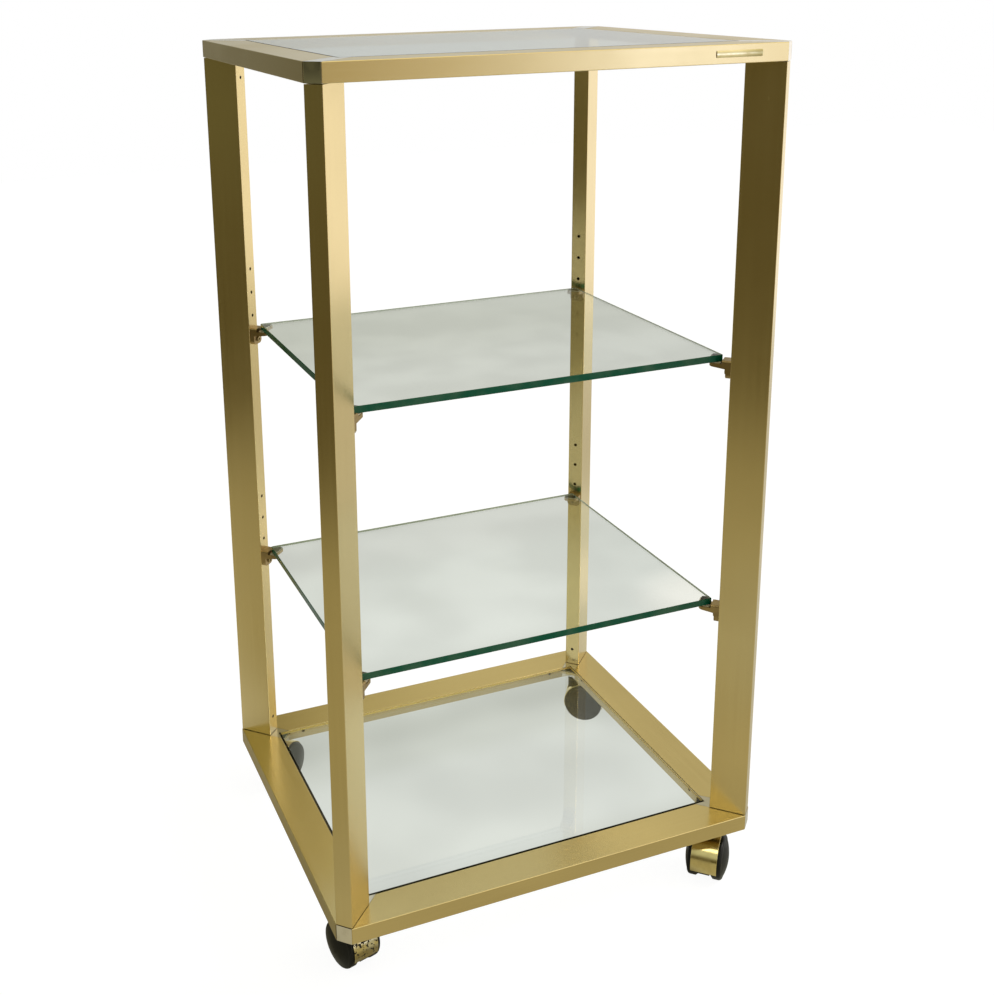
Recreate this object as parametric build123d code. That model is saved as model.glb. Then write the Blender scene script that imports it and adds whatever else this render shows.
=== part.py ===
from build123d import *
import math
import os

os.makedirs("parts", exist_ok=True)

# Overall sizes in millimetres, origin on the floor under the middle of the frame
frame_width = 540.0
frame_depth = 446.0
frame_height = 955.0
wheel_diameter = 55.0
headroom = 12.5  # wheel top to the underside of the frame

# Frame tube, the same section for rails and posts
tube_width = 44.0
tube_thick = 20.0
tube_wall = 1.6
tube_edge = 0.8

# Glass
glass_thick = 8.0
frame_glass_gap = 1.2  # each side of a frame pane in its opening
glass_shift = {"bottom": 0.9, "top": 0.0}  # frame panes pushed towards the back right
glass_arris = 0.6
glass_corner = 1.5

# Pads under the glass
pad_thick = 1.0
pad_margin = 1.5  # inside the edges of what a pad lies on
pad_round = 2.0

# Shelf holes in the posts' inner faces
hole_pitch = 30.0
holes_per_group = 4
hole_margin = 280.0  # lowest hole from the frame's underside, highest hole from its top

# Corner castings
joint_gap = 0.3  # beside the rails' mitred ends
casting_round = 0.8  # upright outer edges
post_inset = 0.5
post_gap = 0.8  # between a post's end and the rails
leg_clear = 0.2
leg_width = 26.0
post_leg_width = 30.0
leg_past_screw = 12.0
ledge_leg = 17.0
ledge_thick = 3.5
ledge_root_trim = 1.5

# Screws
screw_dia = 4.0
hole_clear = 0.1
tap_clear = 0.05
tap_past = 2.0  # tapped hole beyond the screw's point
grub_length = 8.0
grub_recess = 0.4
grub_socket = 2.4  # across the corners
grub_socket_depth = 1.6
post_screw_rise = 24.0  # from the rails
rail_screw_run = 35.0  # from the inner corner of the frame

# Shelf brackets and their screws
bracket_width = 18.0
bracket_plate = 6.0
bracket_below = 6.5  # plate below its screw
bracket_lip_drop = 5.0  # top of the lip below the top of the glass
bracket_lip_gap = 0.5  # lip to the shelf's corner
bracket_foot_round = 5.0
bracket_lip_round = 2.0
tongue_length = 19.0
tongue_root = 6.0
tongue_tip = 3.5
tongue_round = 5.0
shelf_corner_gap = 4.5  # bracket plate to the shelf's corner
head_dia = 6.8
head_height = 2.2
head_round = 1.2
head_clear = 1.6  # screw head to the tongue above it
head_socket = 2.9  # across the corners
head_socket_depth = 1.2
screw_past_wall = 4.0

# Casters
swivel_wall = 4.4  # casting left between the stem bore and the frame's inner corner
stem_dia = 10.0
stem_fit = 0.05
stem_roof = 3.0  # casting left above the stem bore
stem_end_gap = 1.0
stem_lead = 1.0
collar_dia = 16.0
collar_height = 4.0
journal_dia = 7.0
journal_end_gap = 0.5
run_fit = 0.05
swivel_gap = 0.3
boss_radius = 5.5
boss_setback = 3.1  # boss inside the core's rim
bore_floor = 5.0  # body left between the axle and the stem's journal
hood_width = 32.0
hood_sheet = 0.7
hood_seat = 0.2
hood_wheel_gap = 0.8
hood_boss_gap = 0.4
hood_edge = 0.25
hood_drop = 8.5  # hood's lower edge below the axle
window_sill = 0.6
body_drop = 3.5  # body's lower edge below the hood's
axle_dia = 6.0
axle_inset = 0.4  # end of the axle inside the wheel's rim
axle_end_gap = 0.4
core_half = 7.5
wheel_side_gap = 0.7
tread_width = 9.0
tread_edge = 2.5
wheel_shoulder = 4.0
dome_rise = 5.0

# Yaw of each caster about its stem, degrees, as the unit stands
caster_yaw = {"front_left": 15.0, "front_right": 136.0, "back_left": -48.0, "back_right": -126.0}

overshoot = 1.0  # how far a cutter or a joined root runs past the face it meets

corners = {"front_left": (-1, -1), "front_right": (1, -1), "back_right": (1, 1), "back_left": (-1, 1)}
ROOT2 = math.sqrt(2.0)
UPRIGHT = (Align.CENTER, Align.CENTER, Align.MIN)

# Derived heights
caster_height = wheel_diameter + headroom
frame_top = caster_height + frame_height
top_rail_base = frame_top - tube_thick
seat_rise = tube_thick - glass_thick - pad_thick  # ledges under the frame panes, from the rails' underside
shelf_rise = head_dia / 2 + head_clear + tongue_root + pad_thick + glass_thick
levels = {"bottom": caster_height, "top": top_rail_base}

# Derived distances along a corner's diagonal, from the point where the outer sides would meet
strip_out = tube_thick / 2
strip_half = tube_thick / 2 - joint_gap
inner_corner = tube_width * ROOT2
post_outer = strip_out + post_inset
post_inner = post_outer + tube_width
shelf_corner = post_inner + bracket_plate + shelf_corner_gap
stem_bore = stem_dia / 2 + stem_fit
swivel_at = inner_corner - swivel_wall - stem_bore
swivel_in = swivel_at / ROOT2

# Derived screw and bore sizes
hole_radius = screw_dia / 2 + hole_clear
tapped_radius = screw_dia / 2 + tap_clear
stem_bore_depth = tube_thick - stem_roof
stem_engaged = stem_bore_depth - stem_end_gap

# Heights of the post screws and the bracket screws above the floor
post_ends = [caster_height + tube_thick + post_screw_rise, top_rail_base - post_screw_rise]
lower_holes = [caster_height + hole_margin + hole_pitch * i for i in range(holes_per_group)]
upper_holes = [frame_top - hole_margin - hole_pitch * i for i in range(holes_per_group)][::-1]
shelf_screws = {"lower": lower_holes[0], "upper": upper_holes[0]}


def at_corner(name, shape):
    # Places a shape drawn along a corner's diagonal: x inward, y across, z up from the floor.
    sx, sy = corners[name]
    turn = math.degrees(math.atan2(-sy, -sx))
    return Pos(sx * frame_width / 2, sy * frame_depth / 2, 0) * Rot(0, 0, turn) * shape


def block(x0, x1, y0, y1, z0, z1):
    return Pos((x0 + x1) / 2, (y0 + y1) / 2, (z0 + z1) / 2) * Box(x1 - x0, y1 - y0, z1 - z0)


def rod(radius, length):
    # A cylinder along x from the origin.
    return Rot(0, 90, 0) * Cylinder(radius, length, align=UPRIGHT)


def tube_profile():
    outside = RectangleRounded(tube_width, tube_thick, tube_edge)
    return outside - Rectangle(tube_width - 2 * tube_wall, tube_thick - 2 * tube_wall)


def rail(length):
    # A rail along x, its outer side on y = 0 and its inner side on y = tube_width, z from its underside.
    plane = Plane((-length / 2, tube_width / 2, tube_thick / 2), x_dir=(0, 1, 0), z_dir=(1, 0, 0))
    body = extrude(plane * tube_profile(), amount=length)
    cut = tube_thick / ROOT2
    for side in (-1, 1):
        end = Plane((side * (length / 2 - cut), 0, 0), x_dir=(0, 0, 1), z_dir=(-side, -1, 0))
        body = split(body, bisect_by=end, keep=Keep.TOP)
    for side in (-1, 1):
        x = side * (length / 2 - tube_width - rail_screw_run)
        hole = Rot(0, 0, 90) * rod(hole_radius, 4 * tube_wall)
        body -= Pos(x, tube_width - 2 * tube_wall, tube_thick / 2) * hole
    return body


def post():
    z0 = caster_height + tube_thick + post_gap
    z1 = top_rail_base - post_gap
    body = Pos((post_outer + post_inner) / 2, 0, z0) * extrude(tube_profile(), amount=z1 - z0)
    for z in post_ends + lower_holes + upper_holes:
        body -= Pos(post_inner - 2 * tube_wall, 0, z) * rod(hole_radius, 4 * tube_wall)
    return body


def corner_strip(base):
    # The part of a casting that shows between two rails, rounded at its outer end.
    top = base + tube_thick
    strip = block(strip_out, inner_corner + strip_half, -strip_half, strip_half, base, top)
    upright = strip.edges().filter_by(Axis.Z).group_by(Axis.X)[0]
    strip = fillet(upright, casting_round)
    opening = Pos(inner_corner, 0, base - overshoot) * Rot(0, 0, -45) * Box(
        tube_width, tube_width, tube_thick + 2 * overshoot, align=(Align.MIN, Align.MIN, Align.MIN)
    )
    return strip - opening


def ledge(seat):
    # A three-cornered shelf under the glass, joined to the end of the strip.
    prong = strip_half * ROOT2 - ledge_root_trim
    root = -overshoot
    g = joint_gap
    outline = [
        (root, root),
        (prong, root),
        (prong, g),
        (ledge_leg, g),
        (g, ledge_leg),
        (g, prong),
        (root, prong),
    ]
    body = extrude(make_face(Polyline(*outline, close=True)), amount=ledge_thick)
    return Pos(inner_corner, 0, seat - ledge_thick) * Rot(0, 0, -45) * body


def rail_leg(z0, z1):
    # A leg along one rail, drawn in that rail's own direction and then turned onto the diagonal.
    inner = tube_width - tube_wall - leg_clear
    start = inner - leg_width / 2
    end = tube_width + rail_screw_run + leg_past_screw
    return Rot(0, 0, -45) * block(start, end, inner - leg_width, inner, z0, z1)


def corner_casting(base, up):
    # base is the height of the rails' underside, up is 1 where the post stands above the casting.
    top = base + tube_thick
    body = corner_strip(base) + ledge(base + seat_rise)
    leg = rail_leg(base + tube_wall + leg_clear, top - tube_wall - leg_clear)
    body += leg
    body += leg.mirror(Plane.XZ)
    leg_in = post_inner - tube_wall - leg_clear
    half = tube_thick / 2 - tube_wall - leg_clear
    root = top if up > 0 else base
    z_screw = root + up * post_screw_rise
    ends = sorted((root - up * overshoot, z_screw + up * leg_past_screw))
    body += block(leg_in - post_leg_width, leg_in, -half, half, *ends)
    tapped = rod(tapped_radius, grub_length + tap_past + overshoot)
    depth = grub_length + tap_past
    body -= Pos(post_inner - depth, 0, z_screw) * tapped
    side = Pos(tube_width + rail_screw_run, tube_width - depth, base + tube_thick / 2) * Rot(0, 0, 90) * tapped
    side = Rot(0, 0, -45) * side
    body -= side
    body -= side.mirror(Plane.XZ)
    if up > 0:
        bore = Cylinder(stem_bore, stem_bore_depth + overshoot, align=UPRIGHT)
        body -= Pos(swivel_at, 0, base - overshoot) * bore
    return body


def socket(x, across_corners, depth):
    # A hexagonal socket along x, open at x and beyond.
    plane = Plane((x - depth, 0, 0), x_dir=(0, 1, 0), z_dir=(1, 0, 0))
    return extrude(plane * RegularPolygon(across_corners / 2, 6), amount=depth + overshoot)


def grub_screw():
    # Along x, its socket end on the origin and its point at -x.
    body = Pos(-grub_length, 0, 0) * rod(screw_dia / 2, grub_length)
    return body - socket(0, grub_socket, grub_socket_depth)


def bracket(z):
    # z is the height of the bracket's screw.
    x0 = post_inner
    x1 = x0 + bracket_plate
    x2 = x1 + tongue_length
    top = shelf_rise - glass_thick - pad_thick
    lip = shelf_corner - bracket_lip_gap
    lip_top = shelf_rise - bracket_lip_drop
    outline = [
        (x0, -bracket_below),
        (x1, -bracket_below),
        (x1, top - tongue_root),
        (x2, top - tongue_tip),
        (x2, top),
        (lip, top),
        (lip, lip_top),
        (x0, lip_top),
    ]
    face = make_face(Plane.XZ * Polyline(*outline, close=True))
    body = extrude(face, amount=bracket_width / 2, both=True)
    tip = body.edges().filter_by(Axis.Z).group_by(Axis.X)[-1]
    body = fillet(tip, tongue_round)
    foot = body.edges().filter_by(Axis.X).group_by(Axis.Z)[0]
    body = fillet(foot, bracket_foot_round)
    brow = body.edges().filter_by(Axis.X).group_by(Axis.Z)[-1]
    body = fillet(brow, bracket_lip_round)
    body -= Pos(x0 - overshoot, 0, 0) * rod(hole_radius, bracket_plate + 2 * overshoot)
    return Pos(0, 0, z) * body


def bracket_screw(z):
    # Head against the bracket plate, shank through it into the post.
    face_at = post_inner + bracket_plate
    shank = bracket_plate + tube_wall + screw_past_wall
    head = Pos(face_at, 0, 0) * rod(head_dia / 2, head_height)
    head = fillet(head.edges().sort_by(Axis.X)[-1], head_round)
    body = head + Pos(face_at - shank, 0, 0) * rod(screw_dia / 2, shank + head_height / 2)
    return Pos(0, 0, z) * (body - socket(face_at + head_height, head_socket, head_socket_depth))


def shelf_pad(z):
    start = shelf_corner + pad_margin
    end = post_inner + bracket_plate + tongue_length - pad_margin
    pad = extrude(RectangleRounded(end - start, bracket_width - 2 * pad_margin, pad_round), amount=pad_thick)
    return Pos((start + end) / 2, 0, z + shelf_rise - glass_thick - pad_thick) * pad


def frame_pad(seat):
    reach = ledge_leg - (1 + ROOT2) * pad_margin
    outline = [(pad_margin, pad_margin), (reach, pad_margin), (pad_margin, reach)]
    pad = extrude(make_face(Polyline(*outline, close=True)), amount=pad_thick)
    return Pos(inner_corner, 0, seat) * Rot(0, 0, -45) * pad


def pane(width, depth):
    # A pane with its top on z = 0.
    body = Box(width, depth, glass_thick, align=(Align.CENTER, Align.CENTER, Align.MAX))
    body = fillet(body.edges().filter_by(Axis.Z), glass_corner)
    rims = body.faces().sort_by(Axis.Z)[0].edges() + body.faces().sort_by(Axis.Z)[-1].edges()
    return chamfer(rims, glass_arris)


# Caster pieces stand over the floor with the stem on the z axis and the axle along x
wheel_radius = wheel_diameter / 2
hood_inner = wheel_radius + hood_wheel_gap
hood_outer = hood_inner + hood_sheet
core_radius = hood_inner - hood_seat
trail = core_radius - boss_radius - boss_setback
hood_low = wheel_radius - hood_drop
boss_top = caster_height - collar_height - swivel_gap
bore_low = wheel_radius + axle_dia / 2 + bore_floor
wheel_inner = core_half + wheel_side_gap
tread_end = wheel_inner + tread_width
wheel_rim = tread_end + wheel_shoulder
axle_half = wheel_rim - axle_inset


def across(radius, half):
    # A cylinder along the axle.
    return Pos(-half, trail, wheel_radius) * rod(radius, 2 * half)


def below(height):
    # Everything in a caster under this height.
    reach = wheel_diameter
    return block(-reach, reach, trail - reach, trail + reach, -reach, height)


def caster_stem():
    z_top = caster_height + stem_engaged
    low = bore_low + journal_end_gap
    outline = [
        (0, low),
        (journal_dia / 2, low),
        (journal_dia / 2, caster_height - collar_height),
        (collar_dia / 2, caster_height - collar_height),
        (collar_dia / 2, caster_height),
        (stem_dia / 2, caster_height),
        (stem_dia / 2, z_top - stem_lead),
        (stem_dia / 2 - stem_lead, z_top),
        (0, z_top),
    ]
    return revolve(make_face(Plane.XZ * Polyline(*outline, close=True)), Axis.Z, 360)


def caster_body():
    body = across(core_radius, core_half) - below(hood_low - body_drop)
    body += Pos(0, 0, wheel_radius) * Cylinder(boss_radius, boss_top - wheel_radius, align=UPRIGHT)
    body -= Pos(0, 0, bore_low) * Cylinder(journal_dia / 2 + run_fit, boss_top, align=UPRIGHT)
    return body - across(axle_dia / 2 + run_fit, core_half + overshoot)


def caster_hood():
    body = across(hood_outer, hood_width / 2)
    body = chamfer(body.edges().filter_by(GeomType.CIRCLE), hood_edge)
    body = body - across(hood_inner, hood_width) - below(hood_low)
    half = boss_radius + hood_boss_gap
    low = wheel_radius + math.sqrt(hood_inner**2 - (trail + half) ** 2) - window_sill
    window = Pos(0, 0, low) * Cylinder(half, wheel_diameter, align=UPRIGHT)
    window += block(-half, half, -hood_outer, 0, low, low + wheel_diameter)
    return body - window


def caster_axle():
    return across(axle_dia / 2, axle_half)


def caster_wheel(side):
    # Drawn along x with the caster's middle at the origin.
    bore = axle_dia / 2 + run_fit
    bore_end = axle_half + axle_end_gap
    crown = wheel_rim + dome_rise
    dome_edge = wheel_radius - wheel_shoulder
    lines = Polyline(
        (tread_end, wheel_radius),
        (wheel_inner + tread_edge, wheel_radius),
        (wheel_inner, wheel_radius - tread_edge),
        (wheel_inner, bore),
        (bore_end, bore),
        (bore_end, 0),
        (crown, 0),
    )
    dome_radius = (dome_edge**2 + dome_rise**2) / (2 * dome_rise)
    dome_mid = crown - dome_radius + math.sqrt(dome_radius**2 - (dome_edge / 2) ** 2)
    dome = ThreePointArc((crown, 0), (dome_mid, dome_edge / 2), (wheel_rim, dome_edge))
    bulge = wheel_shoulder / ROOT2
    shoulder = ThreePointArc(
        (wheel_rim, dome_edge), (tread_end + bulge, dome_edge + bulge), (tread_end, wheel_radius)
    )
    wheel = revolve(make_face(Curve() + [lines, dome, shoulder]), Axis.X, 360)
    if side < 0:
        wheel = wheel.mirror(Plane.YZ)
    return Pos(0, trail, wheel_radius) * wheel


def at_caster(name, shape):
    sx, sy = corners[name]
    x = sx * (frame_width / 2 - swivel_in)
    y = sy * (frame_depth / 2 - swivel_in)
    return Pos(x, y, 0) * Rot(0, 0, caster_yaw[name]) * shape


pieces = {}

# Rails
sides = {
    "front": (frame_width, 0, (0, -frame_depth / 2)),
    "right": (frame_depth, 90, (frame_width / 2, 0)),
    "back": (frame_width, 180, (0, frame_depth / 2)),
    "left": (frame_depth, 270, (-frame_width / 2, 0)),
}
for level, base in levels.items():
    for side, (length, turn, (x, y)) in sides.items():
        pieces[f"{level}_{side}_rail"] = Pos(x, y, base) * Rot(0, 0, turn) * rail(length)

# Posts and corner castings
the_post = post()
castings = {"bottom": corner_casting(caster_height, 1), "top": corner_casting(top_rail_base, -1)}
for corner in corners:
    pieces[f"{corner}_post"] = at_corner(corner, the_post)
    for level, casting in castings.items():
        pieces[f"{level}_{corner}_casting"] = at_corner(corner, casting)

# Glass panes
opening_width = frame_width - 2 * tube_width - 2 * frame_glass_gap
opening_depth = frame_depth - 2 * tube_width - 2 * frame_glass_gap
shelf_width = frame_width - 2 * shelf_corner / ROOT2
shelf_depth = frame_depth - 2 * shelf_corner / ROOT2
for level, base in levels.items():
    shift = Pos(glass_shift[level], glass_shift[level], base + tube_thick)
    pieces[f"{level}_glass"] = shift * pane(opening_width, opening_depth)
for shelf, height in shelf_screws.items():
    pieces[f"{shelf}_shelf"] = Pos(0, 0, height + shelf_rise) * pane(shelf_width, shelf_depth)

# Brackets, their screws and the pads under the glass
bracket_screws = []
pads = []
for shelf, height in shelf_screws.items():
    for corner in corners:
        pieces[f"{shelf}_{corner}_bracket"] = at_corner(corner, bracket(height))
        bracket_screws.append(at_corner(corner, bracket_screw(height)))
        pads.append(at_corner(corner, shelf_pad(height)))
for base in levels.values():
    for corner in corners:
        pads.append(at_corner(corner, frame_pad(base + seat_rise)))
pieces["bracket_screws"] = Compound(bracket_screws)
pieces["glass_pads"] = Compound(pads)

# Grub screws that hold posts and rails on the castings
connector_screws = []
grub = grub_screw()
run = tube_width + rail_screw_run
for corner in corners:
    for z in post_ends:
        connector_screws.append(at_corner(corner, Pos(post_inner - grub_recess, 0, z) * grub))
    for base in levels.values():
        z = base + tube_thick / 2
        one = Rot(0, 0, -45) * Pos(run, tube_width - grub_recess, z) * Rot(0, 0, 90) * grub
        two = Rot(0, 0, 45) * Pos(run, grub_recess - tube_width, z) * Rot(0, 0, -90) * grub
        connector_screws.append(at_corner(corner, one))
        connector_screws.append(at_corner(corner, two))
pieces["connector_screws"] = Compound(connector_screws)

# Casters
stem = caster_stem()
core = caster_body()
hood = caster_hood()
axle = caster_axle()
wheels = {"left": caster_wheel(-1), "right": caster_wheel(1)}
for corner in corners:
    pieces[f"{corner}_caster_stem"] = at_caster(corner, stem)
    pieces[f"{corner}_caster_body"] = at_caster(corner, core)
    pieces[f"{corner}_caster_hood"] = at_caster(corner, hood)
    pieces[f"{corner}_caster_axle"] = at_caster(corner, axle)
    for side, wheel in wheels.items():
        pieces[f"{corner}_caster_{side}_wheel"] = at_caster(corner, wheel)

for name, shape in pieces.items():
    export_step(shape, f"parts/{name}.step")
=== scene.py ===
import math

import bmesh
import bpy
from mathutils import Matrix, Vector


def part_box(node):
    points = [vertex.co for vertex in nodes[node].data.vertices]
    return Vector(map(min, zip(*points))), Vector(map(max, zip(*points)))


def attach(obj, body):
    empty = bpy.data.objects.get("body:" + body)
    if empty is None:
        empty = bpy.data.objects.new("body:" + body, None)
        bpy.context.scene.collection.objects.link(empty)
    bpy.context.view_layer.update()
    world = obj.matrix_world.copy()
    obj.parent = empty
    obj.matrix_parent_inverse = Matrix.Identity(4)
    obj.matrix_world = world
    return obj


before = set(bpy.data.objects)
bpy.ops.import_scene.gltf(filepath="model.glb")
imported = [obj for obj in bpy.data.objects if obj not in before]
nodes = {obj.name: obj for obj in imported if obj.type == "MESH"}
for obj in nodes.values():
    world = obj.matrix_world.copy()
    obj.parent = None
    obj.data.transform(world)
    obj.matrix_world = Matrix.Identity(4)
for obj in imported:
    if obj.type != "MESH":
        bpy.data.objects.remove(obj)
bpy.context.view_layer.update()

MM = 0.001

# Camera, fitted to the photograph's frame edges
PHOTO_SIZE = (994, 995)
PRINCIPAL_POINT = (423.736, 321.291)
FOCAL_PIXELS = 1311.914
CAMERA_AT = Vector((-0.61709, -1.38306, 1.10629))
CAMERA_YAW = math.radians(21.501)
CAMERA_PITCH = math.radians(-15.219)
CAMERA_ROLL = math.radians(0.899)
SENSOR_WIDTH = 36.0
CLIP_START = 0.05
CLIP_END = 50.0

# A face looks along a direction where its normal has this much of it
FACING = 0.9

# Blank plate on the top front rail
PLATE_SIZE = (56.0 * MM, 1.1 * MM, 7.2 * MM)
PLATE_EDGE = 0.5 * MM
PLATE_RIM = 0.15 * MM
PLATE_RIM_ANGLE = 1.0
PLATE_FACETS = 12
PLATE_FROM_RIGHT = 74.6 * MM
PLATE_BELOW_TOP = 9.8 * MM
PLATE_OLIVE_FROM = 190.0 * MM
PLATE_OLIVE_TO = 222.0 * MM
PLATE_CLEAN = (0.86, 0.74, 0.40, 1)
PLATE_SMUDGE = (0.78, 0.66, 0.34, 1)
PLATE_OLIVE = (0.44, 0.37, 0.15, 1)

# Brushed gold tube
GOLD_DEEP = (0.77, 0.61, 0.29, 1)
GOLD_PALE = (0.83, 0.67, 0.33, 1)
# A darker gold, mixed in where shade falls on inner and under sides: painted shade
GOLD_PAINTED_SHADE = (0.36, 0.29, 0.15, 1)
GOLD_SMUDGE = (0.72, 0.57, 0.28, 1)
GOLD_SPECK = (0.30, 0.22, 0.09, 1)
BRUSH_DEPTH = 0.04 * MM
BRUSH_LENGTHWISE = 0.02
PAINTED_SHADE_SHARE = 0.7

# Corner castings
CASTING_CLEAN = (0.86, 0.80, 0.68, 1)
CASTING_SMUDGE = (0.78, 0.72, 0.60, 1)
CASTING_SPECK = (0.30, 0.25, 0.19, 1)

# Glass, with its tint in a shadow and its tint by length
GLASS_IOR = 1.52
GLASS_SHADOW = (0.92, 0.96, 0.93, 1)
GLASS_TINT = (0.50, 0.79, 0.59, 1)
GLASS_DENSITY = 12.0
EDGE_GREEN = (0.004, 0.108, 0.060, 1)
EDGE_GREEN_INSIDE = (0.50, 0.52, 0.40, 1)
# Frame panes' edges: the dark tone at the near edges is painted shade in the gap, and the pale gold seen
# through the far edges is a painted highlight of the rail
EDGE_PAINTED_SHADE = (0.012, 0.014, 0.007, 1)
EDGE_GROUND = (0.44, 0.40, 0.27, 1)
EDGE_PAINTED_HIGHLIGHT = (0.98, 0.64, 0.18, 1)

# Brackets, screws, stems and pads
BRACKET_LIGHT = (0.42, 0.30, 0.13, 1)
BRACKET_DARK = (0.33, 0.23, 0.10, 1)
BRACKET_SCREW_LIGHT = (0.42, 0.33, 0.16, 1)
BRACKET_SCREW_DARK = (0.30, 0.23, 0.11, 1)
GRUB_SCREW_LIGHT = (0.10, 0.09, 0.07, 1)
GRUB_SCREW_DARK = (0.05, 0.045, 0.04, 1)
STEM_LIGHT = (0.62, 0.61, 0.58, 1)
STEM_DARK = (0.50, 0.49, 0.46, 1)
PAD_LIGHT = (0.68, 0.61, 0.46, 1)
PAD_DARK = (0.58, 0.52, 0.40, 1)

# Casters, with the heights over the floor between which the worn hood's dark spots change in size
CASTER_BLACK = (0.006, 0.006, 0.005, 1)
CASTER_DUST = (0.019, 0.019, 0.0185, 1)
MOULD_DEPTH = 0.05 * MM
HOOD_CLEAN = (0.80, 0.66, 0.30, 1)
HOOD_SMUDGE = (0.70, 0.57, 0.25, 1)
HOOD_PALE = (0.84, 0.76, 0.50, 1)
HOOD_BARE = (0.035, 0.028, 0.012, 1)
HOOD_WEAR_LOW = 26.0 * MM
HOOD_WEAR_HIGH = 45.0 * MM

# Directions to the bright wall that lights the unit's right and to a lamp high on the front left
TO_LIT_WALL = (0.995, -0.105, 0.0)
TO_LAMP = (-0.494, -0.319, 0.809)

# Walls behind and before the unit, from the dim left at 0 to the lit wall at 1
WALL_BEHIND = [
    (0.0, (0.10, 0.084, 0.034)),
    (0.305, (0.095, 0.087, 0.043)),
    (0.325, (0.23, 0.22, 0.175)),
    (0.345, (0.285, 0.29, 0.255)),
    (0.55, (0.545, 0.555, 0.53)),
    (0.63, (0.63, 0.64, 0.62)),
    (0.77, (0.74, 0.73, 0.70)),
    (0.90, (1.13, 1.10, 1.06)),
    (0.95, (1.14, 1.12, 1.18)),
    (1.0, (1.04, 1.01, 0.97)),
]
WALL_BEFORE = [
    (0.0, (0.10, 0.083, 0.036)),
    (0.23, (0.11, 0.092, 0.042)),
    (0.50, (0.22, 0.19, 0.12)),
    (0.69, (0.42, 0.36, 0.21)),
    (0.724, (0.57, 0.51, 0.39)),
    (0.779, (0.73, 0.70, 0.63)),
    (0.845, (0.86, 0.85, 0.88)),
    (0.90, (1.06, 1.03, 1.00)),
    (1.0, (1.03, 1.00, 0.95)),
]
WINDOW = (1.95, 2.15, 3.2, 1)
LEFT_LEDGE = (0.17, 0.165, 0.085, 1)
LEFT_DOORWAY = (0.035, 0.033, 0.018, 1)
FAR_FLOOR = (0.60, 0.60, 0.55, 1)

# Ceiling, by how far to the right the direction leans
CEILING = [
    (0.0, (0.075, 0.062, 0.028)),
    (0.12, (0.14, 0.12, 0.05)),
    (0.19, (0.215, 0.18, 0.075)),
    (0.22, (0.305, 0.275, 0.155)),
    (0.25, (0.48, 0.46, 0.29)),
    (0.30, (0.545, 0.525, 0.38)),
    (0.38, (0.635, 0.605, 0.465)),
    (0.43, (0.50, 0.475, 0.357)),
    (0.47, (0.40, 0.385, 0.287)),
    (1.0, (0.80, 0.90, 1.15)),
]
CEILING_LEFT_BACK = (0.40, 0.44, 0.33, 1)
CEILING_LEFT_FRONT = (0.62, 0.66, 0.58, 1)
CEILING_NEAR = (1.22, 1.16, 0.98, 1)
LAMP = (3.4, 3.2, 2.7, 1)

# Floor, by side, with painted light and shade, and its sweep from the front at 0 to the back at 1
FLOOR_MIDDLE = (0.46, 0.46, 0.38, 1)
FLOOR_LEFT = (0.38, 0.35, 0.22, 1)
FLOOR_RIGHT = (0.56, 0.55, 0.49, 1)
FLOOR_FAR_RIGHT = (0.60, 0.585, 0.53, 1)
FLOOR_FRONT = (0.45, 0.42, 0.29, 1)
FLOOR_LIT = (0.98, 0.95, 0.90, 1)
FLOOR_LIT_AT = (0.64, 0.41, 0.0)
FLOOR_SHADE = (0.17, 0.15, 0.09, 1)
FLOOR_SHADE_BESIDE = (0.20, 0.175, 0.09, 1)
FLOOR_THROUGH_LEFT = (0.50, 0.50, 0.45, 1)
FLOOR_SWEEP_FROM = -0.25
FLOOR_SWEEP_TO = 2.50
# The dip at 0.158 to 0.18 is painted shade under the back rail
FLOOR_SWEEP = [
    (0.054, (0.62, 0.63, 0.59)),
    (0.075, (0.73, 0.74, 0.71)),
    (0.135, (0.71, 0.72, 0.69)),
    (0.158, (0.64, 0.65, 0.61)),
    (0.18, (0.57, 0.58, 0.54)),
    (0.212, (0.68, 0.69, 0.66)),
    (0.261, (0.78, 0.79, 0.76)),
    (0.342, (0.74, 0.75, 0.72)),
    (0.405, (0.69, 0.69, 0.665)),
    (0.738, (0.67, 0.67, 0.635)),
    (0.99, (0.54, 0.54, 0.48)),
]
FLOOR_HALF = 6.0
FLOOR_GLOW = 0.94
FLOOR_MATT = (0.16, 0.16, 0.16, 1)
WHITE = (1, 1, 1, 1)

# Soft lamp on the right
KEY_AT = (2.6, -0.8, 2.0)
KEY_AIM = (0, 0, 0.5)
KEY_SIZE = (1.2, 0.8)
KEY_POWER = 22.0


# Node helpers

def put(tree, socket, value):
    # Another node's output is linked; a number or colour is set.
    if isinstance(value, bpy.types.NodeSocket):
        tree.links.new(value, socket)
    else:
        socket.default_value = value


def add_node(tree, kind, inputs=None, **settings):
    made = tree.nodes.new(kind)
    for key, value in settings.items():
        setattr(made, key, value)
    for key, value in (inputs or {}).items():
        put(tree, made.inputs[key], value)
    return made


def math_node(tree, operation, *values):
    return add_node(tree, "ShaderNodeMath", dict(enumerate(values)), operation=operation).outputs[0]


def times(tree, first, *others):
    for other in others:
        first = math_node(tree, "MULTIPLY", first, other)
    return first


def vector_node(tree, operation, inputs, output):
    return add_node(tree, "ShaderNodeVectorMath", inputs, operation=operation).outputs[output]


def object_place(tree):
    return tree.nodes.new("ShaderNodeTexCoord").outputs["Object"]


def split(tree, vector):
    return add_node(tree, "ShaderNodeSeparateXYZ", {0: vector}).outputs


def mix_colour(tree, share, first, second):
    made = add_node(tree, "ShaderNodeMix", {0: share, 6: first, 7: second}, data_type="RGBA")
    return made.outputs[2]


def mix_shader(tree, share, first, second):
    inputs = {0: share, 1: first.outputs[0], 2: second.outputs[0]}
    return add_node(tree, "ShaderNodeMixShader", inputs)


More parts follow.
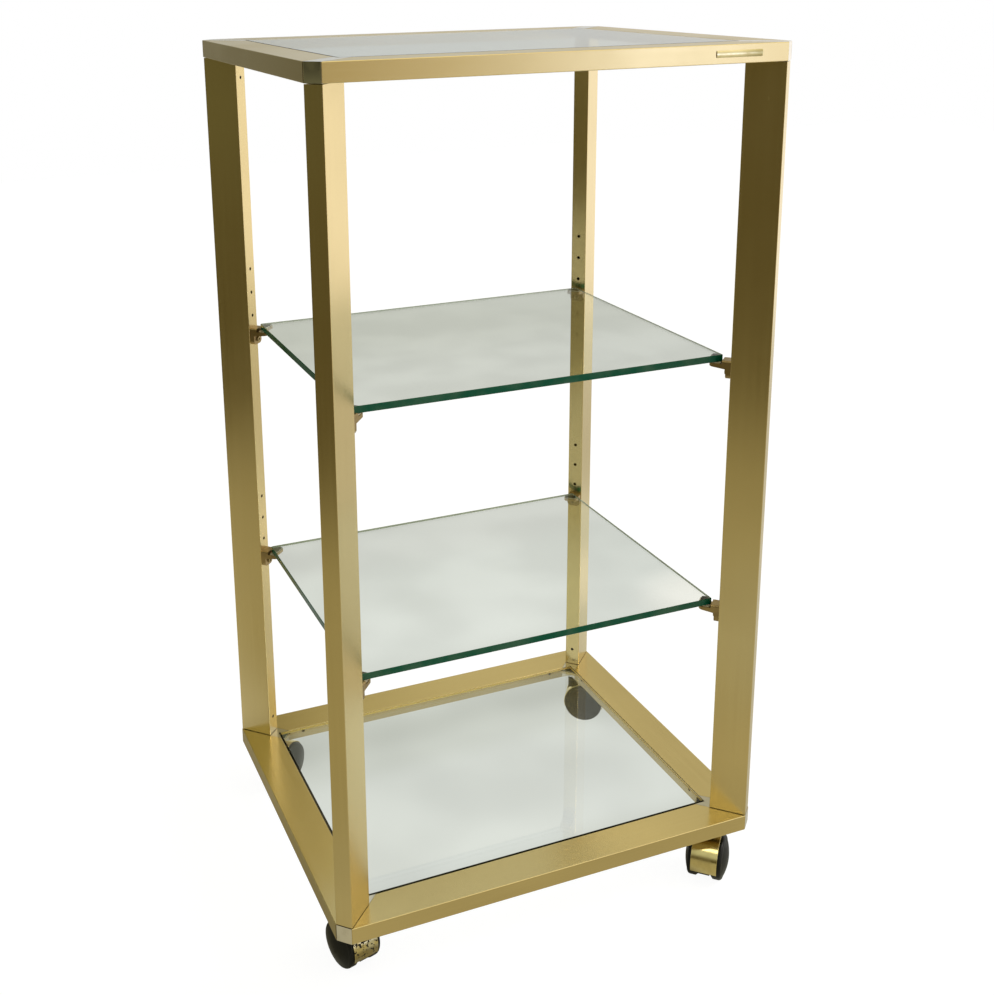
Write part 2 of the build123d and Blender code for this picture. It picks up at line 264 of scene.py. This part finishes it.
def stretch(tree, value, low, high, to_low=0.0, to_high=1.0, interpolation="SMOOTHSTEP"):
    made = add_node(
        tree,
        "ShaderNodeMapRange",
        {"Value": value, "From Min": low, "From Max": high, "To Min": to_low, "To Max": to_high},
        interpolation_type=interpolation,
    )
    return made.outputs[0]


def band(tree, value, rise, fall):
    return times(tree, stretch(tree, value, *rise), stretch(tree, value, *fall))


def noise(tree, place, scale, detail):
    inputs = {"Vector": place, "Scale": scale, "Detail": detail}
    return add_node(tree, "ShaderNodeTexNoise", inputs).outputs[0]


def bump(tree, strength, depth, height):
    inputs = {"Strength": strength, "Distance": depth, "Height": height}
    return add_node(tree, "ShaderNodeBump", inputs).outputs[0]


def ramp(tree, value, stops):
    made = add_node(tree, "ShaderNodeValToRGB", {"Fac": value})
    bar = made.color_ramp
    bar.interpolation = "EASE"
    while len(bar.elements) < len(stops):
        bar.elements.new(0.5)
    for element, (position, colour) in zip(bar.elements, stops):
        element.position = position
        element.color = (*colour, 1)
    return made.outputs[0]


def new_group(name, inputs, outputs):
    group = bpy.data.node_groups.new(name, "ShaderNodeTree")
    for label, kind, default in inputs:
        socket = group.interface.new_socket(label, in_out="INPUT", socket_type=kind)
        if default is not None:
            socket.default_value = default
    for label, kind in outputs:
        group.interface.new_socket(label, in_out="OUTPUT", socket_type=kind)
    start = group.nodes.new("NodeGroupInput")
    end = group.nodes.new("NodeGroupOutput")
    return group, start.outputs, end.inputs


def use_group(tree, group, inputs):
    return add_node(tree, "ShaderNodeGroup", inputs, node_tree=group).outputs


# Shared effects

def brushing_group():
    # Fine parallel scratches: Grain squeezes the pattern, and its small part lies along the brushing.
    group, take, give = new_group(
        "Brushing",
        [
            ("Vector", "NodeSocketVector", None),
            ("Grain", "NodeSocketVector", (1.0, 1.0, 1.0)),
        ],
        [("Streak", "NodeSocketFloat"), ("Fine", "NodeSocketFloat")],
    )
    scratches = vector_node(group, "MULTIPLY", {0: take["Vector"], 1: take["Grain"]}, 0)
    group.links.new(noise(group, scratches, scale=260.0, detail=3.0), give["Streak"])
    group.links.new(noise(group, scratches, scale=1400.0, detail=2.0), give["Fine"])
    return group


def handling_group():
    # Soft smudges and a few darker specks from use.
    group, take, give = new_group(
        "Handling",
        [("Vector", "NodeSocketVector", None), ("Size", "NodeSocketFloat", 14.0)],
        [("Smudge", "NodeSocketFloat"), ("Speck", "NodeSocketFloat")],
    )
    cloud = noise(group, take["Vector"], scale=take["Size"], detail=5.0)
    dots = noise(group, take["Vector"], scale=420.0, detail=1.0)
    group.links.new(stretch(group, cloud, 0.38, 0.68), give["Smudge"])
    group.links.new(stretch(group, dots, 0.70, 0.76), give["Speck"])
    return group


BRUSHING = brushing_group()
HANDLING = handling_group()


# Materials

def handled_material(name, size):
    made = bpy.data.materials.new(name)
    made.use_nodes = True
    tree = made.node_tree
    marks = use_group(tree, HANDLING, {"Vector": object_place(tree), "Size": size})
    return made, tree, tree.nodes["Principled BSDF"], marks


def smudged(tree, marks, clean, dirty):
    # A roughness that goes from clean to dirty with the smudges.
    return stretch(tree, marks["Smudge"], 0.0, 1.0, clean, dirty)


def coat(tree, shader, tone, roughness, metallic):
    put(tree, shader.inputs["Base Color"], tone)
    put(tree, shader.inputs["Roughness"], roughness)
    put(tree, shader.inputs["Metallic"], metallic)


def brushed_gold(name, grain, painted_shade=0.0):
    made, tree, shader, marks = handled_material(name, size=9.0)
    brush = use_group(tree, BRUSHING, {"Vector": object_place(tree), "Grain": grain})
    tone = mix_colour(tree, brush["Streak"], GOLD_DEEP, GOLD_PALE)
    # Painted shade: a share of darker gold
    if painted_shade:
        tone = mix_colour(tree, painted_shade, tone, GOLD_PAINTED_SHADE)
    tone = mix_colour(tree, times(tree, marks["Smudge"], 0.18), tone, GOLD_SMUDGE)
    tone = mix_colour(tree, times(tree, marks["Speck"], 0.08), tone, GOLD_SPECK)
    streaked = math_node(tree, "MULTIPLY_ADD", brush["Streak"], 0.06, 0.19)
    roughness = math_node(tree, "ADD", streaked, times(tree, marks["Smudge"], 0.04))
    coat(tree, shader, tone, roughness, metallic=1.0)
    scratched = bump(tree, strength=0.12, depth=BRUSH_DEPTH, height=brush["Fine"])
    put(tree, shader.inputs["Normal"], scratched)
    return made


def polished_casting():
    made, tree, shader, marks = handled_material("champagne_casting", size=60.0)
    tone = mix_colour(tree, marks["Smudge"], CASTING_CLEAN, CASTING_SMUDGE)
    tone = mix_colour(tree, times(tree, marks["Speck"], 0.4), tone, CASTING_SPECK)
    coat(tree, shader, tone, smudged(tree, marks, clean=0.07, dirty=0.14), metallic=1.0)
    return made


def shelf_glass():
    made, tree, shader, marks = handled_material("float_glass", size=7.0)
    shader.inputs["Base Color"].default_value = WHITE
    shader.inputs["Transmission Weight"].default_value = 1.0
    shader.inputs["IOR"].default_value = GLASS_IOR
    put(tree, shader.inputs["Roughness"], stretch(tree, marks["Smudge"], 0.2, 1.0, 0.0, 0.012))
    clear = add_node(tree, "ShaderNodeBsdfTransparent", {"Color": GLASS_SHADOW})
    path = tree.nodes.new("ShaderNodeLightPath")
    mixed = mix_shader(tree, path.outputs["Is Shadow Ray"], shader, clear)
    tint = {"Color": GLASS_TINT, "Density": GLASS_DENSITY}
    inside = add_node(tree, "ShaderNodeVolumeAbsorption", tint)
    end = tree.nodes["Material Output"]
    tree.links.new(mixed.outputs[0], end.inputs["Surface"])
    tree.links.new(inside.outputs[0], end.inputs["Volume"])
    return made


def glass_edge(name, outer, inner):
    # One tone from outside and another where the edge is seen through the pane.
    made, tree, shader, marks = handled_material(name, size=26.0)
    tone = mix_colour(tree, times(tree, marks["Smudge"], 0.1), outer, inner)
    inside = tree.nodes.new("ShaderNodeNewGeometry").outputs["Backfacing"]
    tone = mix_colour(tree, inside, tone, inner)
    coat(tree, shader, tone, smudged(tree, marks, clean=0.10, dirty=0.22), metallic=0.0)
    shader.inputs["Specular IOR Level"].default_value = 0.12
    return made


def satin_metal(name, light, dark, roughness, size):
    made, tree, shader, marks = handled_material(name, size)
    tone = mix_colour(tree, marks["Smudge"], light, dark)
    coat(tree, shader, tone, smudged(tree, marks, clean=roughness, dirty=roughness + 0.12), metallic=1.0)
    return made


def moulded_plastic(name, roughness):
    made, tree, shader, marks = handled_material(name, size=70.0)
    tone = mix_colour(tree, times(tree, marks["Smudge"], 0.5), CASTER_BLACK, CASTER_DUST)
    coat(tree, shader, tone, smudged(tree, marks, clean=roughness, dirty=roughness + 0.15), metallic=0.0)
    shader.inputs["Specular IOR Level"].default_value = 0.28
    grain = noise(tree, object_place(tree), scale=2200.0, detail=1.0)
    textured = bump(tree, strength=0.10, depth=MOULD_DEPTH, height=grain)
    put(tree, shader.inputs["Normal"], textured)
    return made


def soft_vinyl():
    made, tree, shader, marks = handled_material("pad_vinyl", size=120.0)
    tone = mix_colour(tree, marks["Smudge"], PAD_LIGHT, PAD_DARK)
    coat(tree, shader, tone, roughness=0.45, metallic=0.0)
    return made


def polished_brass(name, worn):
    made, tree, shader, marks = handled_material(name, size=45.0)
    tone = mix_colour(tree, marks["Smudge"], HOOD_CLEAN, HOOD_SMUDGE)
    roughness = smudged(tree, marks, clean=0.15, dirty=0.24)
    metallic = 1.0
    if worn:
        place = object_place(tree)
        height = split(tree, place)[2]
        kept = stretch(tree, height, HOOD_WEAR_HIGH, HOOD_WEAR_LOW, 0.0, 0.07)
        spots = math_node(tree, "SUBTRACT", noise(tree, place, scale=300.0, detail=2.5), kept)
        bare = stretch(tree, spots, 0.53, 0.57)
        pale = stretch(tree, noise(tree, place, scale=90.0, detail=1.0), 0.45, 0.6)
        tone = mix_colour(tree, pale, tone, HOOD_PALE)
        tone = mix_colour(tree, bare, tone, HOOD_BARE)
        roughness = math_node(tree, "ADD", roughness, times(tree, bare, 0.35))
        metallic = math_node(tree, "SUBTRACT", 1.0, times(tree, bare, 0.7))
    coat(tree, shader, tone, roughness, metallic)
    return made


def plate_brass():
    # Brass that is darker and more olive towards its right end.
    made, tree, shader, marks = handled_material("plate_brass", size=120.0)
    tone = mix_colour(tree, marks["Smudge"], PLATE_CLEAN, PLATE_SMUDGE)
    x = split(tree, object_place(tree))[0]
    olive = stretch(tree, x, PLATE_OLIVE_FROM, PLATE_OLIVE_TO, 0.0, 0.75)
    tone = mix_colour(tree, olive, tone, PLATE_OLIVE)
    coat(tree, shader, tone, smudged(tree, marks, clean=0.14, dirty=0.26), metallic=1.0)
    return made


ALONG_X = (BRUSH_LENGTHWISE, 1.0, 1.0)
ALONG_Y = (1.0, BRUSH_LENGTHWISE, 1.0)
ALONG_Z = (1.0, 1.0, BRUSH_LENGTHWISE)
gold_along_x = brushed_gold("gold_brushed_along_x", ALONG_X)
gold_along_y = brushed_gold("gold_brushed_along_y", ALONG_Y)
gold_along_z = brushed_gold("gold_brushed_along_z", ALONG_Z)
shaded_gold_along_x = brushed_gold("gold_painted_shade_along_x", ALONG_X, PAINTED_SHADE_SHARE)
shaded_gold_along_y = brushed_gold("gold_painted_shade_along_y", ALONG_Y, PAINTED_SHADE_SHARE)
casting_metal = polished_casting()
glass = shelf_glass()
shelf_edge = glass_edge("shelf_glass_edge", EDGE_GREEN, EDGE_GREEN_INSIDE)
# Painted shade on the frame panes' near edges and a painted highlight on their far edges
near_edge_painted_shade = glass_edge("frame_glass_near_edge", EDGE_PAINTED_SHADE, EDGE_GROUND)
far_edge_painted_highlight = glass_edge("frame_glass_far_edge", EDGE_GROUND, EDGE_PAINTED_HIGHLIGHT)
bronze = satin_metal("bracket_bronze", BRACKET_LIGHT, BRACKET_DARK, roughness=0.30, size=80.0)
bracket_screw = satin_metal(
    "bracket_screw", BRACKET_SCREW_LIGHT, BRACKET_SCREW_DARK, roughness=0.25, size=200.0
)
grub_screw = satin_metal("dark_screw", GRUB_SCREW_LIGHT, GRUB_SCREW_DARK, roughness=0.35, size=200.0)
plated_steel = satin_metal("plated_steel", STEM_LIGHT, STEM_DARK, roughness=0.25, size=120.0)
pad_vinyl = soft_vinyl()
body_plastic = moulded_plastic("caster_body_plastic", roughness=0.45)
wheel_plastic = moulded_plastic("wheel_plastic", roughness=0.36)
hood_brass = polished_brass("hood_brass", worn=False)
hood_worn = polished_brass("hood_worn_brass", worn=True)
plate_metal = plate_brass()

# Finish of each node, by the first of these that its name ends with
FINISHES = {
    "front_rail": gold_along_x,
    "back_rail": gold_along_x,
    "_rail": gold_along_y,
    "_post": gold_along_z,
    "_casting": casting_metal,
    "_glass": glass,
    "_shelf": glass,
    "_bracket": bronze,
    "front_left_caster_hood": hood_worn,
    "_hood": hood_brass,
    "_wheel": wheel_plastic,
    "_caster_body": body_plastic,
    "_stem": plated_steel,
    "_axle": plated_steel,
    "bracket_screws": bracket_screw,
    "connector_screws": grub_screw,
    "glass_pads": pad_vinyl,
}


def add_finishes(name, finishes, pick):
    mesh = nodes[name].data
    for finish in finishes:
        mesh.materials.append(finish)
    for face in mesh.polygons:
        face.material_index = int(pick(face))


def upright(face):
    return abs(face.normal.z) < FACING


# Faces on the near side get the painted shade, faces on the far side the painted highlight
def near_or_far(face):
    if not upright(face):
        return 0
    return 1 if face.normal.x + face.normal.y < 0 else 2


for name, obj in nodes.items():
    finish = next(finish for ending, finish in FINISHES.items() if name.endswith(ending))
    obj.data.materials.clear()
    obj.data.materials.append(finish)

for pane in ("upper_shelf", "lower_shelf"):
    add_finishes(pane, [shelf_edge], upright)
for pane in ("top_glass", "bottom_glass"):
    add_finishes(pane, [near_edge_painted_shade, far_edge_painted_highlight], near_or_far)

# Inner and under sides of the bottom frame get painted shade: a darker copy of the gold
for side, (x, y) in {"front": (0, 1), "right": (-1, 0), "back": (0, -1), "left": (1, 0)}.items():
    add_finishes(
        f"bottom_{side}_rail",
        [shaded_gold_along_x if y else shaded_gold_along_y],
        lambda face: max(x * face.normal.x + y * face.normal.y, -face.normal.z) > FACING,
    )
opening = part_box("bottom_glass")[1]


def ledge_or_underside(face):
    ledge = abs(face.center.x) < opening[0] and abs(face.center.y) < opening[1]
    return ledge or face.normal.z < -FACING


# The bottom castings' ledges and undersides get the same painted shade
for name in nodes:
    if name.startswith("bottom_") and name.endswith("_casting"):
        add_finishes(name, [shaded_gold_along_x], ledge_or_underside)


# New pieces

def mesh_piece(name, shape, finish, body):
    mesh = bpy.data.meshes.new(name)
    shape.to_mesh(mesh)
    shape.free()
    obj = bpy.data.objects.new(name, mesh)
    bpy.context.scene.collection.objects.link(obj)
    mesh.materials.append(finish)
    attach(obj, body)


def blank_plate():
    # A bar whose front is bowed a little, drawn as its end outline and pulled out along the rail.
    low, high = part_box("top_front_rail")
    corner_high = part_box("top_front_right_casting")[1]
    length, thick, height = PLATE_SIZE
    at = Vector((corner_high[0] - PLATE_FROM_RIGHT, low[1], high[2] - PLATE_BELOW_TOP))
    outline = [(0.0, -1.0)]
    for step in range(PLATE_FACETS + 1):
        share = 2.0 * step / PLATE_FACETS - 1.0
        outline.append((PLATE_EDGE + (thick - PLATE_EDGE) * (1.0 - share**2), share))
    outline.append((0.0, 1.0))
    shape = bmesh.new()
    corners = [shape.verts.new((-length / 2, -out, up * height / 2)) for out, up in outline]
    made = bmesh.ops.extrude_face_region(shape, geom=[shape.faces.new(corners)])
    moved = [part for part in made["geom"] if isinstance(part, bmesh.types.BMVert)]
    bmesh.ops.translate(shape, verts=moved, vec=(length, 0, 0))
    bmesh.ops.recalc_face_normals(shape, faces=shape.faces)
    rims = [edge for edge in shape.edges if edge.calc_face_angle(0.0) > PLATE_RIM_ANGLE]
    bmesh.ops.bevel(
        shape, geom=rims, offset=PLATE_RIM, affect="EDGES", segments=2, profile=0.5, material=-1
    )
    bmesh.ops.translate(shape, verts=shape.verts, vec=at)
    mesh_piece("blank_plate", shape, plate_metal, "frame")


blank_plate()


# Camera

def place_camera():
    ahead = Vector(
        (
            math.sin(CAMERA_YAW) * math.cos(CAMERA_PITCH),
            math.cos(CAMERA_YAW) * math.cos(CAMERA_PITCH),
            math.sin(CAMERA_PITCH),
        )
    )
    level = Vector((math.cos(CAMERA_YAW), -math.sin(CAMERA_YAW), 0))
    down = ahead.cross(level)
    right = math.cos(CAMERA_ROLL) * level + math.sin(CAMERA_ROLL) * down
    up = math.sin(CAMERA_ROLL) * level - math.cos(CAMERA_ROLL) * down
    longer = max(PHOTO_SIZE)
    data = bpy.data.cameras.new("camera")
    data.sensor_width = SENSOR_WIDTH
    data.lens = FOCAL_PIXELS * SENSOR_WIDTH / longer
    data.shift_x = (PHOTO_SIZE[0] / 2 - PRINCIPAL_POINT[0]) / longer
    data.shift_y = (PRINCIPAL_POINT[1] - PHOTO_SIZE[1] / 2) / longer
    data.clip_start = CLIP_START
    data.clip_end = CLIP_END
    obj = bpy.data.objects.new("camera", data)
    turn = Matrix((right, up, -ahead)).transposed()
    obj.matrix_world = Matrix.Translation(CAMERA_AT) @ turn.to_4x4()
    bpy.context.scene.collection.objects.link(obj)
    bpy.context.scene.camera = obj


place_camera()


# Studio: what the metal and glass mirror, with ranges in parts of a direction of length one

def wall_tones(tree, side, y, z):
    window = times(
        tree,
        band(tree, side, (0.779, 0.800), (0.843, 0.816)),
        band(tree, z, (-0.22, -0.14), (0.10, 0.02)),
    )
    before = mix_colour(tree, window, ramp(tree, side, WALL_BEFORE), WINDOW)
    tones = mix_colour(tree, stretch(tree, y, -0.3, 0.3), before, ramp(tree, side, WALL_BEHIND))
    far_left = stretch(tree, side, 0.12, 0.03)
    ledge = times(tree, band(tree, z, (-0.20, -0.09), (0.06, 0.0)), far_left)
    tones = mix_colour(tree, ledge, tones, LEFT_LEDGE)
    doorway = times(tree, stretch(tree, z, -0.088, -0.074), stretch(tree, y, -0.245, -0.275), far_left)
    return mix_colour(tree, doorway, tones, LEFT_DOORWAY)


def ceiling_tones(tree, towards, x, y, z):
    raised = stretch(tree, z, 0.565, 0.615, 1.0, 1.58)
    tones = vector_node(tree, "SCALE", {0: ramp(tree, x, CEILING), "Scale": raised}, 0)
    left = mix_colour(tree, stretch(tree, y, -0.22, -0.45), CEILING_LEFT_BACK, CEILING_LEFT_FRONT)
    tones = mix_colour(tree, stretch(tree, x, -0.25, -0.55), tones, left)
    near = times(tree, stretch(tree, y, 0.15, -0.10), stretch(tree, x, 0.05, 0.20))
    tones = mix_colour(tree, near, tones, CEILING_NEAR)
    lamp = vector_node(tree, "DOT_PRODUCT", {0: towards, 1: TO_LAMP}, "Value")
    return mix_colour(tree, stretch(tree, lamp, 0.989, 0.994), tones, LAMP)


def studio_tones(tree):
    towards = tree.nodes.new("ShaderNodeTexCoord").outputs["Generated"]
    x, y, z = split(tree, towards)
    right = vector_node(tree, "DOT_PRODUCT", {0: towards, 1: TO_LIT_WALL}, "Value")
    side = math_node(tree, "MULTIPLY_ADD", right, 0.5, 0.5)
    walls = wall_tones(tree, side, y, z)
    far_floor = mix_colour(tree, stretch(tree, y, 0.0, 0.4), walls, FAR_FLOOR)
    far_floor = mix_colour(tree, stretch(tree, x, -0.15, 0.12), walls, far_floor)
    lower = mix_colour(tree, stretch(tree, z, -0.36, -0.27), far_floor, walls)
    ceiling = ceiling_tones(tree, towards, x, y, z)
    return mix_colour(tree, stretch(tree, z, 0.12, 0.48), lower, ceiling)


def studio_world():
    world = bpy.data.worlds.new("studio")
    bpy.context.scene.world = world
    world.use_nodes = True
    tree = world.node_tree
    tree.nodes.clear()
    path = tree.nodes.new("ShaderNodeLightPath").outputs
    tones = mix_colour(tree, path["Is Transmission Ray"], studio_tones(tree), FAR_FLOOR)
    seen = add_node(tree, "ShaderNodeBackground", {"Color": WHITE, "Strength": 1.0})
    lit = add_node(tree, "ShaderNodeBackground", {"Color": tones, "Strength": 1.0})
    mixed = mix_shader(tree, path["Is Camera Ray"], lit, seen)
    add_node(tree, "ShaderNodeOutputWorld", {"Surface": mixed.outputs[0]})


# Floor: white to the camera; where metal and glass show it, it glows with painted light and shade,
# ranges in metres

def floor_tones(tree):
    place = object_place(tree)
    x, y = split(tree, place)[:2]
    across = math_node(tree, "ABSOLUTE", x)
    along = math_node(tree, "ABSOLUTE", y)
    way_back = stretch(tree, y, FLOOR_SWEEP_FROM, FLOOR_SWEEP_TO, interpolation="LINEAR")
    sweep = ramp(tree, way_back, FLOOR_SWEEP)
    tone = mix_colour(tree, stretch(tree, x, -0.15, -0.70), FLOOR_MIDDLE, FLOOR_LEFT)
    tone = mix_colour(tree, stretch(tree, x, 0.10, 0.50), tone, FLOOR_RIGHT)
    front = times(
        tree,
        stretch(tree, along, 0.55, 0.42),
        stretch(tree, y, -0.20, -0.25),
        stretch(tree, across, 0.45, 0.32),
    )
    tone = mix_colour(tree, front, tone, FLOOR_FRONT)
    tone = mix_colour(tree, stretch(tree, y, 0.10, 0.20), tone, sweep)
    far_right = times(tree, stretch(tree, x, 0.8, 1.2), stretch(tree, y, 1.2, 0.8))
    tone = mix_colour(tree, far_right, tone, FLOOR_FAR_RIGHT)
    # A painted pool of light on the floor to the right
    from_lit = vector_node(tree, "DISTANCE", {0: place, 1: FLOOR_LIT_AT}, "Value")
    tone = mix_colour(tree, stretch(tree, from_lit, 0.17, 0.06), tone, FLOOR_LIT)
    under = times(tree, stretch(tree, across, 0.27, 0.19), stretch(tree, along, 0.25, 0.17))
    tone = mix_colour(tree, under, tone, sweep)
    # Painted shade under the front corners and along the left rail
    front_shade = times(
        tree,
        band(tree, y, (-0.232, -0.205), (-0.06, -0.12)),
        band(tree, across, (0.08, 0.15), (0.275, 0.24)),
    )
    left_shade = times(
        tree,
        band(tree, x, (-0.275, -0.245), (-0.165, -0.195)),
        stretch(tree, along, 0.27, 0.22),
    )
    shade = math_node(tree, "MAXIMUM", front_shade, left_shade)
    tone = mix_colour(tree, times(tree, shade, 0.9), tone, FLOOR_SHADE)
    # Painted shade on the floor beside the unit's left side
    shade_beside = times(
        tree,
        band(tree, x, (-0.46, -0.33), (-0.25, -0.28)),
        stretch(tree, y, -0.26, -0.16),
    )
    tone = mix_colour(tree, times(tree, shade_beside, 0.85), tone, FLOOR_SHADE_BESIDE)
    through = tree.nodes.new("ShaderNodeLightPath").outputs["Is Transmission Ray"]
    through = times(tree, through, stretch(tree, x, 0.36, 0.29))
    clear = mix_colour(tree, stretch(tree, x, -0.28, -0.45), sweep, FLOOR_THROUGH_LEFT)
    tone = mix_colour(tree, through, tone, clear)
    cloud = stretch(tree, noise(tree, place, scale=5.0, detail=1.5), 0.35, 0.65, 0.94, 1.06)
    return vector_node(tree, "SCALE", {0: tone, "Scale": cloud}, 0), floor_cover(tree, place, x)


def floor_cover(tree, place, x):
    # The floor gives way to the room farther out, and sooner on the left.
    reach = vector_node(tree, "LENGTH", {0: place}, "Value")
    limit = stretch(tree, x, -0.5, 0.8, 1.0, 1.7)
    return stretch(tree, math_node(tree, "DIVIDE", reach, limit), 1.90, 1.35)


def pale_floor():
    shape = bmesh.new()
    bmesh.ops.create_grid(shape, x_segments=2, y_segments=2, size=FLOOR_HALF)
    mesh = bpy.data.meshes.new("floor")
    shape.to_mesh(mesh)
    shape.free()
    obj = bpy.data.objects.new("floor", mesh)
    bpy.context.scene.collection.objects.link(obj)
    made = bpy.data.materials.new("pale_floor")
    made.use_nodes = True
    tree = made.node_tree
    tree.nodes.clear()
    matt = add_node(tree, "ShaderNodeBsdfDiffuse", {"Color": FLOOR_MATT})
    glow = add_node(tree, "ShaderNodeEmission", {"Color": WHITE, "Strength": FLOOR_GLOW})
    seen = add_node(tree, "ShaderNodeAddShader", {0: matt.outputs[0], 1: glow.outputs[0]})
    tone, cover = floor_tones(tree)
    # Where metal and glass show the floor, it glows with its painted light and shade
    mirrored = add_node(tree, "ShaderNodeEmission", {"Color": tone, "Strength": 1.0})
    open_air = tree.nodes.new("ShaderNodeBsdfTransparent")
    lit = mix_shader(tree, cover, open_air, mirrored)
    path = tree.nodes.new("ShaderNodeLightPath")
    mixed = mix_shader(tree, path.outputs["Is Camera Ray"], lit, seen)
    add_node(tree, "ShaderNodeOutputMaterial", {"Surface": mixed.outputs[0]})
    mesh.materials.append(made)


# Lamp

def soft_lamp(name, at, aim, size, power):
    data = bpy.data.lights.new(name, "AREA")
    data.shape = "RECTANGLE"
    data.size, data.size_y = size
    data.energy = power
    obj = bpy.data.objects.new(name, data)
    facing = (Vector(aim) - Vector(at)).to_track_quat("-Z", "Y")
    obj.matrix_world = Matrix.Translation(at) @ facing.to_matrix().to_4x4()
    bpy.context.scene.collection.objects.link(obj)


studio_world()
pale_floor()
soft_lamp("key", KEY_AT, KEY_AIM, KEY_SIZE, KEY_POWER)
bpy.context.scene.view_settings.view_transform = "Standard"
